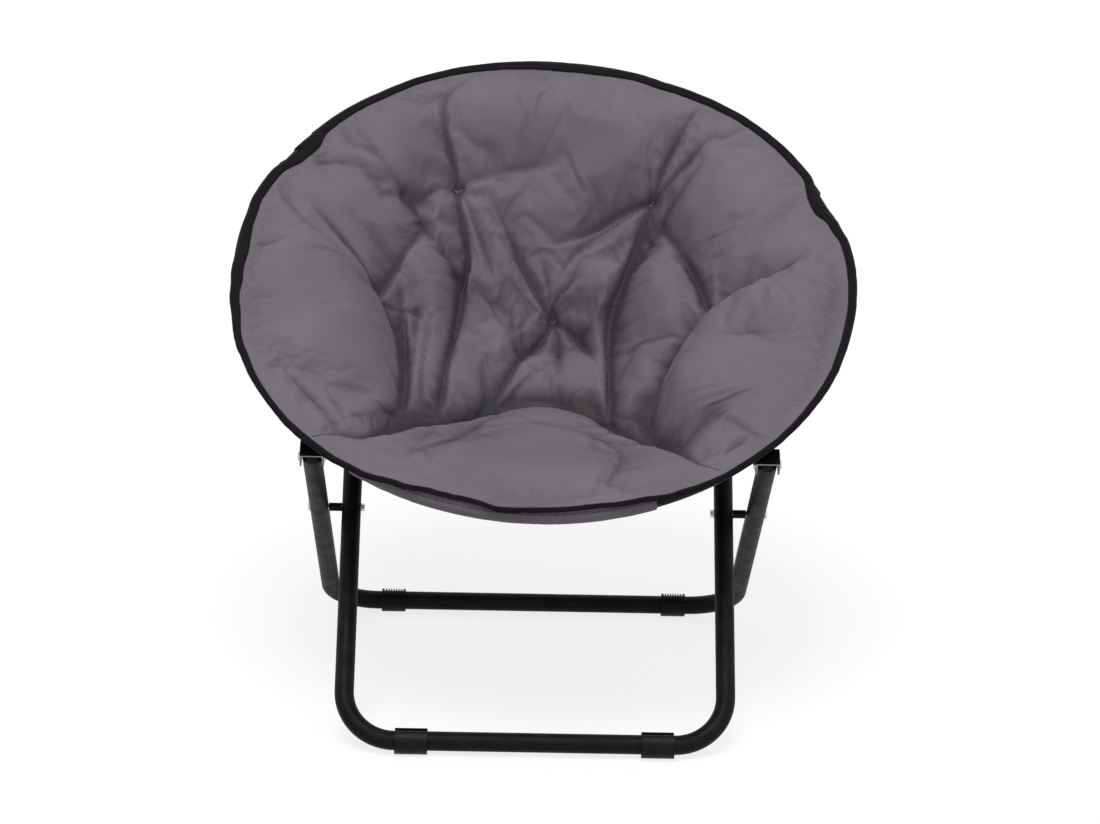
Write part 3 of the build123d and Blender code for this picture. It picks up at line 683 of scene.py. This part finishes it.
# the closed pad: the settled upper face, the plain under side and the edge between them
upper_points = get_points(upper)
pad_x, pad_s, pad_n = to_ring(upper_points)
settled_n = pad_n.reshape(x.shape)
# painted shade: how far each point of the settled face lies below what is round it, from 0 to 1
painted_shade = painted_fold_shade(settled_n).ravel()
x, s, radius, angle, share = on_disc(GRID_CELLS)
under = profile(LOWER_PROFILE, radius - edge_offset(angle) * share**6)
under = under + lumps(x, s, UNDER_LUMPS) * np.clip((0.93 - share) * 12, 0, 1)
for tuft_x, tuft_s in STITCHES + PUCKERS:
    under += 9 * np.exp(-((np.hypot(x - tuft_x, s - tuft_s) / 18.0) ** 2))
pushed = np.where(share < 0.95, np.minimum(under, settled_n - LEAST_THICKNESS), under)
under = np.minimum(pushed, 0.5 * (pushed + blurred(pushed, 2)))
lower_points = to_world(x, s, under).reshape(-1, 3)
count = side_count**2
border = list(range(side_count))
border += [row * side_count + side_count - 1 for row in range(1, side_count)]
border += [count - side_count + i for i in range(side_count - 2, -1, -1)]
border += [row * side_count for row in range(side_count - 2, 0, -1)]
faces = grid_faces(side_count, side_count)
closed = faces + [tuple(i + count for i in reversed(f)) for f in faces]
for a, b in zip(border, border[1:] + border[:1]):
    closed.append((b, a, a + count, b + count))
pad = new_object("pad_whole", np.vstack([upper_points, lower_points]), closed)
bpy.data.objects.remove(upper)
# the painted shade is kept as a point attribute on the upper face only, and the cloth's material reads it
painted_shade_layer = pad.data.attributes.new("painted_shade", "FLOAT", "POINT")
painted_shade_layer.data.foreach_set("value", np.concatenate([painted_shade, np.zeros(count)]))
subdivide(pad)


def cut_at_hinge(source, name, front):
    """One side of the pad, cut square to the ring at the hinge line and closed."""
    obj = add_to_scene(bpy.data.objects.new(name, source.data.copy()))
    obj.data.name = name
    mesh = bmesh.new()
    mesh.from_mesh(obj.data)
    origin = to_world(0.0, HINGE_S, 0.0)
    way = SLOPE if front else -SLOPE
    everything = mesh.verts[:] + mesh.edges[:] + mesh.faces[:]
    cut = bmesh.ops.bisect_plane(mesh, geom=everything, dist=1e-7, plane_co=origin, plane_no=way,
                                 clear_outer=True)
    rim = [e for e in cut["geom_cut"] if isinstance(e, bmesh.types.BMEdge)]
    filled = bmesh.ops.triangle_fill(mesh, edges=rim, use_beauty=True)
    for e in rim:
        e.smooth = False
    for g in filled["geom"]:
        if isinstance(g, bmesh.types.BMFace):
            g.smooth = False
    bmesh.ops.recalc_face_normals(mesh, faces=mesh.faces)
    mesh.to_mesh(obj.data)
    mesh.free()
    obj.data.materials.append(fabric)
    return obj


def flatten(obj):
    """Gives the piece a mesh of its own; it is not pressed flat."""
    tuple(to_world(0.0, 0.0, 6.0))
    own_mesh(obj)


PAD_HALVES = [("seat_cover_front", True, "ring_front"), ("seat_cover_back", False, "ring_rear")]
for pad_name, front, body in PAD_HALVES:
    piece = cut_at_hinge(pad, pad_name, front)
    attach(piece, body)
    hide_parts("seat_pad_front" if front else "seat_pad_rear")
    flatten(piece)
bpy.data.objects.remove(pad)

# ---- the bound edge -----------------------------------------------------------------------------------
# by angle from the front: the tape's inner edge, outwards from the tube's centreline, in millimetres
TAPE_INNER = [
    (-180, -3), (-150, -1), (-120, -3), (-100, -1), (-90, -3), (-80, 0), (-72, 2.5), (-55, 5), (-46, 4),
    (-30, 6), (0, 7.5), (24, 6.5), (45, 5), (62, 3), (78, 1.5), (96, 0), (108, -3), (114, 0), (125, -2),
    (150, -3), (156, 0), (162, -2.5), (180, -3),
]
# by the same angle: how far it wraps over the tube, in degrees outwards from straight above it
TAPE_WRAP = [
    (-180, 76), (-115, 66), (-90, 45), (-70, 20), (-45, 0), (45, 0), (70, 20), (90, 50), (115, 70), (180, 76),
]
TAPE_EDGE = 9.2
TAPE_HUG = 15.4  # the tape's outer face round the tube, from the tube's centreline
TAPE_THICKNESS = 1.3
TAPE_OVER = 1.9  # how far it lies over the cover
TAPE_TUCK = 1.2  # how far its inner edge dips into the cover
TAPE_DEPTH = 3.6  # from its upper face to its face in the cover
TAPE_LEAST_TURN = 9.0  # degrees that it turns down past its edge, everywhere
NOTCH_START, NOTCH_FULL = -8.0, -14.0  # edge offsets between which it stops wrapping the tube
BINDING_STEPS = 720


def tape_shift(angle):
    """How far the tape lies outwards and up from its even circle."""
    offset = float(edge_offset(np.array(angle)))
    long_kinks = 0.9 * noise.noise(Vector((angle / 4.0, 0.0, 2.0)))
    short_kinks = 0.5 * noise.noise(Vector((angle / 1.5, 0.0, 5.0)))
    kink = long_kinks + short_kinks
    return offset + kink, 0.5 * noise.noise(Vector((angle / 3.0, 1.0, 0.0)))


def tape_section(angle):
    """Outline of the tape, as (outwards, square to the ring) from the tube's centreline."""
    offset, lift = tape_shift(angle)
    inner = float(table_value(TAPE_INNER, angle))
    across = [inner + share * (TAPE_EDGE - inner) for share in (0.0, 0.08, 0.35, 0.7, 1.0)]
    heights = [float(profile(UPPER_PROFILE, np.array(RING_RADIUS + r))) + TAPE_OVER + lift for r in across]
    heights[0] -= TAPE_TUCK
    top = [(r + offset, n) for r, n in zip(across, heights)]
    under = [(r + offset, n - TAPE_DEPTH) for r, n in reversed(list(zip(across, heights))[1:4])]
    edge_r, edge_n = top[-1][0] + 1.2, top[-1][1] - 1.0
    start, far = degrees(atan2(edge_r, edge_n)), hypot(edge_r, edge_n)
    open_share = min(max((offset - NOTCH_FULL) / (NOTCH_START - NOTCH_FULL), 0.0), 1.0)
    reach = max(float(table_value(TAPE_WRAP, angle)) - start - TAPE_LEAST_TURN, 0.0) * open_share
    outside, inside = [], []
    for share in (0.0, 0.33, 0.66, 1.0):
        turn = start + share * (TAPE_LEAST_TURN + reach)
        hug = far + (TAPE_HUG - far) * float(ease((turn - start - 6.0) / 26.0))
        for side, r in ((outside, hug), (inside, hug - TAPE_THICKNESS)):
            side.append((r * sin(radians(turn)), r * cos(radians(turn))))
    return top + outside + inside[::-1] + under


def band(name, section, steps):
    """A band all the way round the ring, with the given outline at each angle."""
    points = []
    for angle in np.linspace(-180.0, 180.0, steps, endpoint=False):
        for r_off, n in section(angle):
            r = RING_RADIUS + r_off
            points.append((r * sin(radians(angle)), -r * cos(radians(angle)), n))
    points = np.array(points)
    width = len(section(0.0))
    faces = grid_faces(steps, width, wrap_columns=True)
    base = (steps - 1) * width
    for column in range(width):
        right = (column + 1) % width
        faces.append((base + column, base + right, right, column))
    return new_object(name, to_world(points[:, 0], points[:, 1], points[:, 2]), faces)


binding = band("edge_binding", tape_section, BINDING_STEPS)
binding.data.materials.append(tape)
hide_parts("binding_front", "binding_rear")
BLEND_REACH = 32.0  # to each side of the hinge line; the points found with it are not used
tuple(to_world(0.0, HINGE_S + BLEND_REACH, 0.0))
tuple(to_world(0.0, HINGE_S - BLEND_REACH, 0.0))
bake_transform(binding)

# ---- fabric sleeves round the ring --------------------------------------------------------------------
SLEEVE_INNER = 12.7
SLEEVE_OUTER = 14.0
SLEEVE_AROUND = 48
HEM_TURN = 38.0  # degrees of the sleeve's hem above its outermost line
FRONT_SLEEVE_START, FRONT_SLEEVE_END = -36.0, 21.0
FRONT_SLEEVE_SAG, BACK_SLEEVE_SAG = 1.0, 0.3


def sleeve_radius(angle, turn, sag):
    """The outer skin: loose wrinkles, a sag underneath and a hem that stands a little proud."""
    wrinkle = noise.noise(Vector((angle / 2.5, cos(turn) * 2, sin(turn) * 2)))
    creases = noise.noise(Vector((angle / 0.8, cos(turn) * 1.2, sin(turn) * 1.2 + 4.0)))
    hang = sag * max(-sin(turn - radians(40.0)), 0.0)
    hem = 0.45 * ease((degrees(turn) - HEM_TURN) / 3.0) if turn < pi / 2 else 0.45
    return SLEEVE_OUTER + 0.35 * wrinkle + 0.2 * creases + hang + (hem if turn < pi else 0.0)


def sleeve(name, start, end, body, steps, sag, finish):
    """A sleeve of cloth or tape round the ring tube, as a closed wall with an even inside."""
    rows = []
    for angle in np.linspace(start, end, steps):
        for skin in (1, 0):
            for k in range(SLEEVE_AROUND):
                turn = 2 * pi * k / SLEEVE_AROUND
                off = float(sleeve_radius(angle, turn, sag)) if skin else SLEEVE_INNER
                r = RING_RADIUS + off * cos(turn)
                rows.append((r * sin(radians(angle)), -r * cos(radians(angle)), off * sin(turn)))
    rows = np.array(rows)
    faces = []
    ring = 2 * SLEEVE_AROUND
    for row in range(steps - 1):
        for k in range(SLEEVE_AROUND):
            right = (k + 1) % SLEEVE_AROUND
            a, b = row * ring + k, row * ring + right
            faces.append((a, b, b + ring, a + ring))
            a, b = a + SLEEVE_AROUND, b + SLEEVE_AROUND
            faces.append((a + ring, b + ring, b, a))
    for row, flip in ((0, False), (steps - 1, True)):
        for k in range(SLEEVE_AROUND):
            right = (k + 1) % SLEEVE_AROUND
            a, b = row * ring + k, row * ring + right
            face = (a, a + SLEEVE_AROUND, b + SLEEVE_AROUND, b)
            faces.append(tuple(reversed(face)) if flip else face)
    obj = new_object(name, to_world(rows[:, 0], rows[:, 1], rows[:, 2]), faces)
    obj.data.materials.append(finish)
    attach(obj, body)
    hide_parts(name.replace("cover_", ""))


sleeve("cover_front_sleeve", FRONT_SLEEVE_START, FRONT_SLEEVE_END, "ring_front", 180, FRONT_SLEEVE_SAG,
       fabric)
BACK_SLEEVES = [
    ("cover_back_sleeve_middle", 147.0, 213.0, 130),
    ("cover_back_sleeve_right", 124.3, 137.3, 30),
    ("cover_back_sleeve_left", -137.3, -124.3, 30),
]
for sleeve_name, start, end, steps in BACK_SLEEVES:
    sleeve(sleeve_name, start, end, "ring_rear", steps, BACK_SLEEVE_SAG, tape)

# ---- stitching ----------------------------------------------------------------------------------------
STITCH_SIDES = 6


def stitches(name, paths, radius, dash, gap, body, finish):
    """Rows of thread: short rounded dashes along lines of ring coordinates."""
    verts, faces = [], []
    for path in paths:
        path = np.asarray(path, float)
        steps = np.linalg.norm(np.diff(path, axis=0), axis=1)
        walked = np.concatenate([[0.0], np.cumsum(steps)])
        place = gap / 2
        while place + dash <= walked[-1]:
            ends = [np.array([np.interp(w, walked, path[:, axis]) for axis in range(3)])
                    for w in (place, place + dash * 0.5, place + dash)]
            way = (ends[2] - ends[0]) / np.linalg.norm(ends[2] - ends[0])
            side = np.cross(way, (0.0, 0.0, 1.0))
            side /= np.linalg.norm(side)
            up = np.cross(side, way)
            base = len(verts)
            for where, size in ((0, 0.35), (1, 1.0), (2, 0.35)):
                for k in range(STITCH_SIDES):
                    turn = 2 * pi * k / STITCH_SIDES
                    verts.append(ends[where] + radius * size * (cos(turn) * side + sin(turn) * up))
            for low in (base, base + STITCH_SIDES):
                for k in range(STITCH_SIDES):
                    a, b = low + k, low + (k + 1) % STITCH_SIDES
                    faces.append((a, b, b + STITCH_SIDES, a + STITCH_SIDES))
            faces.append(tuple(base + k for k in reversed(range(STITCH_SIDES))))
            faces.append(tuple(base + 2 * STITCH_SIDES + k for k in range(STITCH_SIDES)))
            place += dash + gap
    verts = np.array(verts)
    obj = new_object(name, to_world(verts[:, 0], verts[:, 1], verts[:, 2]), faces)
    obj.data.materials.append(finish)
    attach(obj, body)
    return obj


def hem_line(inset, turn, out):
    """A line along the front sleeve: degrees in from its ends, degrees up, and how far out of its skin."""
    points = []
    for angle in np.linspace(FRONT_SLEEVE_START + inset, FRONT_SLEEVE_END - inset, 160):
        off = float(sleeve_radius(angle, radians(turn), FRONT_SLEEVE_SAG)) + out
        r = RING_RADIUS + off * cos(radians(turn))
        points.append((r * sin(radians(angle)), -r * cos(radians(angle)), off * sin(radians(turn))))
    return points


hem_thread = hem_line(0.4, HEM_TURN + 7.0, 0.05)
hem_edge = hem_line(0.2, HEM_TURN - 1.0, -0.05)
stitches("front_sleeve_stitching", [hem_thread], 0.32, 2.6, 0.9, "ring_front", thread)
stitches("front_sleeve_seam", [hem_edge], 0.5, 9.0, 0.01, "ring_front", tape)


def on_pad(points, lift):
    """Lines laid on the settled upper face of the pad."""
    laid = []
    for point_x, point_s in points:
        near = np.hypot(pad_x - point_x, pad_s - point_s)
        closest = np.argpartition(near, 4)[:4]
        weight = 1.0 / (near[closest] + 0.5)
        laid.append((point_x, point_s, float((pad_n[closest] * weight).sum() / weight.sum()) + lift))
    return laid


def dense(points, spacing=3.0):
    """A line with extra points at an even spacing."""
    out = []
    for a, b in zip(points, points[1:]):
        count = max(int(hypot(b[0] - a[0], b[1] - a[1]) / spacing), 1)
        out += [(a[0] + (b[0] - a[0]) * k / count, a[1] + (b[1] - a[1]) * k / count) for k in range(count)]
    return out + [points[-1]]


def bar_tack(center, turn, length, rows=3):
    """A short block of thread side by side, as sewn through a tuft."""
    way = np.array([cos(radians(turn)), sin(radians(turn))])
    side = np.array([-way[1], way[0]])
    lines = []
    for row in range(rows):
        middle = np.array(center) + side * (row - (rows - 1) / 2) * 0.8
        ends = [middle - way * length / 2, middle + way * length / 2]
        lines.append(on_pad(dense([tuple(e) for e in ends]), 0.7))
    return lines


TACKS = [(4.0, 11.0), (30.0, 9.0), (10.0, 8.0)]  # each stitch's turn in degrees and its thread's length
tacks = []
for center, (turn, length) in zip(STITCHES, TACKS):
    tacks += bar_tack(center, turn, length)
flatten(stitches("tuft_stitching", tacks, 0.42, 1.9, 0.35, "ring_rear", pale_thread))
seam_back, seam_front = [], []
for point in dense(smooth_line(SEAT_SEAM)):
    (seam_back if point[1] > HINGE_S + 2 else seam_front).append(point)
left_end = [p for p in seam_front if p[0] < 0]
right_end = [p for p in seam_front if p[0] > 0]
seam_middle = [on_pad(seam_back, 0.5)]
seam_ends = [on_pad(left_end, 0.6), on_pad(right_end, 0.6)]
flatten(stitches("seat_seam_back", seam_middle, 0.5, 3.0, 0.8, "ring_rear", thread))
flatten(stitches("seat_seam_front", seam_ends, 0.55, 3.0, 0.8, "ring_front", thread))

# ---- stage, lights and camera -------------------------------------------------------------------------
FLOOR_REACH = 60
FLOOR_LEVEL = -0.0005
FLOOR_GREY = 0.45  # the floor that lights the chair from below
FLOOR_SHADOW = 0.26  # how dark the shadow is on the floor that is seen
FLOOR_GLOW = 0.79  # what brings that floor up to white
AROUND_LIGHT = 0.45


def seen_rays(tree):
    """1 for camera, glossy and transmission rays, which see the plain white background."""
    path = tree.nodes.new("ShaderNodeLightPath")
    total = path.outputs["Is Camera Ray"]
    for name in ("Is Glossy Ray", "Is Transmission Ray"):
        either = tree.nodes.new("ShaderNodeMath")
        either.operation = "MAXIMUM"
        tree.links.new(total, either.inputs[0])
        tree.links.new(path.outputs[name], either.inputs[1])
        total = either.outputs[0]
    return total


def make_floor():
    """A plain floor that reads white and keeps the object's soft shadow."""
    signs = ((-1, -1), (1, -1), (1, 1), (-1, 1))
    corners = [(FLOOR_REACH * a, FLOOR_REACH * b, FLOOR_LEVEL) for a, b in signs]
    obj = new_object("floor", corners, [(0, 1, 2, 3)], smooth=False)
    material = bpy.data.materials.new("floor")
    material.use_nodes = True
    tree = material.node_tree
    output = tree.nodes["Material Output"]
    plain = tree.nodes["Principled BSDF"]
    plain.inputs["Base Color"].default_value = (FLOOR_GREY, FLOOR_GREY, FLOOR_GREY, 1)
    plain.inputs["Roughness"].default_value = 1.0
    plain.inputs["Specular IOR Level"].default_value = 0.0
    shadowed = tree.nodes.new("ShaderNodeBsdfDiffuse")
    shadowed.inputs["Color"].default_value = (FLOOR_SHADOW, FLOOR_SHADOW, FLOOR_SHADOW, 1)
    glow = tree.nodes.new("ShaderNodeEmission")
    glow.inputs["Strength"].default_value = FLOOR_GLOW
    both = tree.nodes.new("ShaderNodeAddShader")
    choice = tree.nodes.new("ShaderNodeMixShader")
    tree.links.new(shadowed.outputs[0], both.inputs[0])
    tree.links.new(glow.outputs[0], both.inputs[1])
    tree.links.new(seen_rays(tree), choice.inputs["Fac"])
    tree.links.new(plain.outputs[0], choice.inputs[1])
    tree.links.new(both.outputs[0], choice.inputs[2])
    tree.links.new(choice.outputs[0], output.inputs["Surface"])
    obj.data.materials.append(material)


def make_world():
    """White to the eye and to gloss; a dimmer, even light on the object."""
    world = bpy.data.worlds.new("studio")
    world.use_nodes = True
    bpy.context.scene.world = world
    tree = world.node_tree
    seen = tree.nodes["Background"]
    seen.inputs["Color"].default_value = (1, 1, 1, 1)
    seen.inputs["Strength"].default_value = 1.0
    around = tree.nodes.new("ShaderNodeBackground")
    around.inputs["Color"].default_value = (1, 1, 1, 1)
    around.inputs["Strength"].default_value = AROUND_LIGHT
    choice = tree.nodes.new("ShaderNodeMixShader")
    tree.links.new(seen_rays(tree), choice.inputs["Fac"])
    tree.links.new(around.outputs[0], choice.inputs[1])
    tree.links.new(seen.outputs[0], choice.inputs[2])
    tree.links.new(choice.outputs[0], tree.nodes["World Output"].inputs["Surface"])


def lamp(name, azimuth, height, strength, softness):
    """A soft, even studio lamp: azimuth from the front, + to the right; all angles in degrees."""
    data = bpy.data.lights.new(name, "SUN")
    data.energy = strength
    data.angle = radians(softness)
    obj = add_to_scene(bpy.data.objects.new(name, data))
    turn, rise = radians(azimuth), radians(height)
    toward = Vector((sin(turn) * cos(rise), -cos(turn) * cos(rise), sin(rise)))
    obj.rotation_euler = toward.to_track_quat("Z", "Y").to_euler()


make_floor()
make_world()
lamp("key", -12.0, 66.0, 1.45, 24.0)
lamp("fill", 40.0, 40.0, 0.3, 60.0)

# the photograph's camera: its place in metres, its turns in radians, and its focal length in pixels
CAMERA_PLACE = Vector((-0.0512, -4.69893, 1.9338))
CAMERA_DOWN = 0.323
CAMERA_YAW = -0.014
CAMERA_ROLL = 0.023
FOCAL_PIXELS = 3729.0
PHOTO_WIDTH = 1100.0

camera_data = bpy.data.cameras.new("camera")
camera_data.sensor_width = 36.0
camera_data.lens = FOCAL_PIXELS / PHOTO_WIDTH * camera_data.sensor_width
camera_data.clip_end = 100.0
camera = add_to_scene(bpy.data.objects.new("camera", camera_data))
forward = Vector((-sin(CAMERA_YAW) * cos(CAMERA_DOWN), cos(CAMERA_YAW) * cos(CAMERA_DOWN), -sin(CAMERA_DOWN)))
level = Vector((cos(CAMERA_YAW), sin(CAMERA_YAW), 0))
upright = level.cross(forward)
right = cos(CAMERA_ROLL) * level + sin(CAMERA_ROLL) * upright
upwards = -sin(CAMERA_ROLL) * level + cos(CAMERA_ROLL) * upright
camera.matrix_world = Matrix((
    (right.x, upwards.x, -forward.x, CAMERA_PLACE.x),
    (right.y, upwards.y, -forward.y, CAMERA_PLACE.y),
    (right.z, upwards.z, -forward.z, CAMERA_PLACE.z),
    (0, 0, 0, 1),
))
bpy.context.scene.camera = camera
bpy.context.scene.view_settings.view_transform = "Standard"
